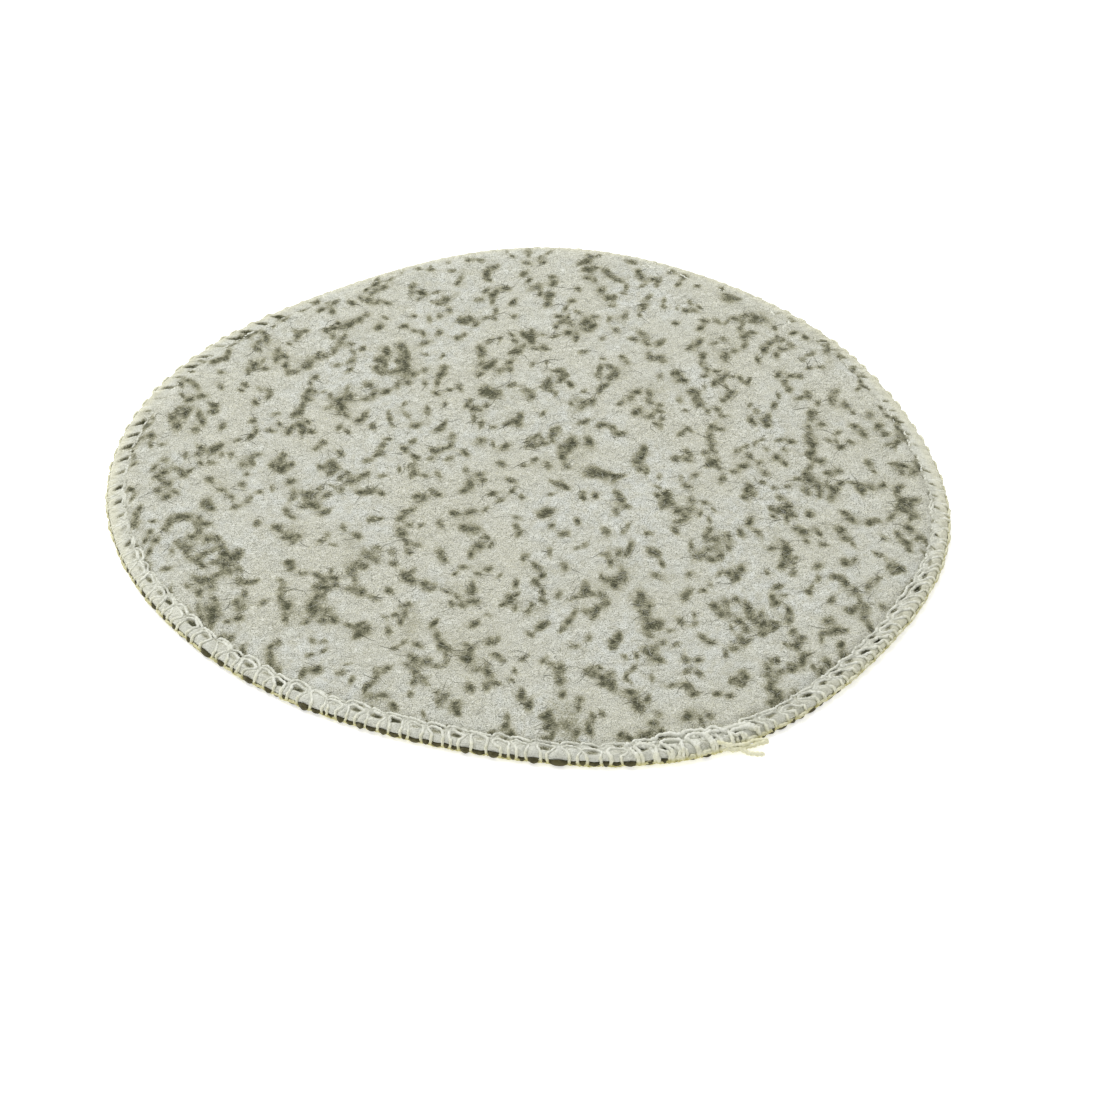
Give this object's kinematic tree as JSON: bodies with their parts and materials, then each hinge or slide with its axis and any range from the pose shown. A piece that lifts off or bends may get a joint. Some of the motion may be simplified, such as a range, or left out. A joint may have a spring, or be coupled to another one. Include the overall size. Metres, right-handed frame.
{
  "type": "felt polishing pad",
  "caption": "Round soft felt pad: a pale felt working face laid on a dark backing felt, the edge closed by an overlock seam with a short thread tail.",
  "frame": {"origin": "centre of the flat back face, on the surface that the pad lies on", "axes": "+Z out of the pale working face; +X to the right and -Y to the near edge, with the thread tail on the near edge about 60 degrees clockwise from +X seen from above"},
  "size_m": [0.1555, 0.1533, 0.0028],
  "materials": {
    "face_felt": "matte",
    "backing_felt": "matte",
    "thread": "matte"
  },
  "bodies": {
    "root": {"backing_felt": "backing_felt", "face_felt": "face_felt", "needle_thread": "thread", "upper_looper_thread": "thread", "lower_looper_thread": "thread", "tail_loop": "thread", "tail_end": "thread"}
  },
  "joints": []
}
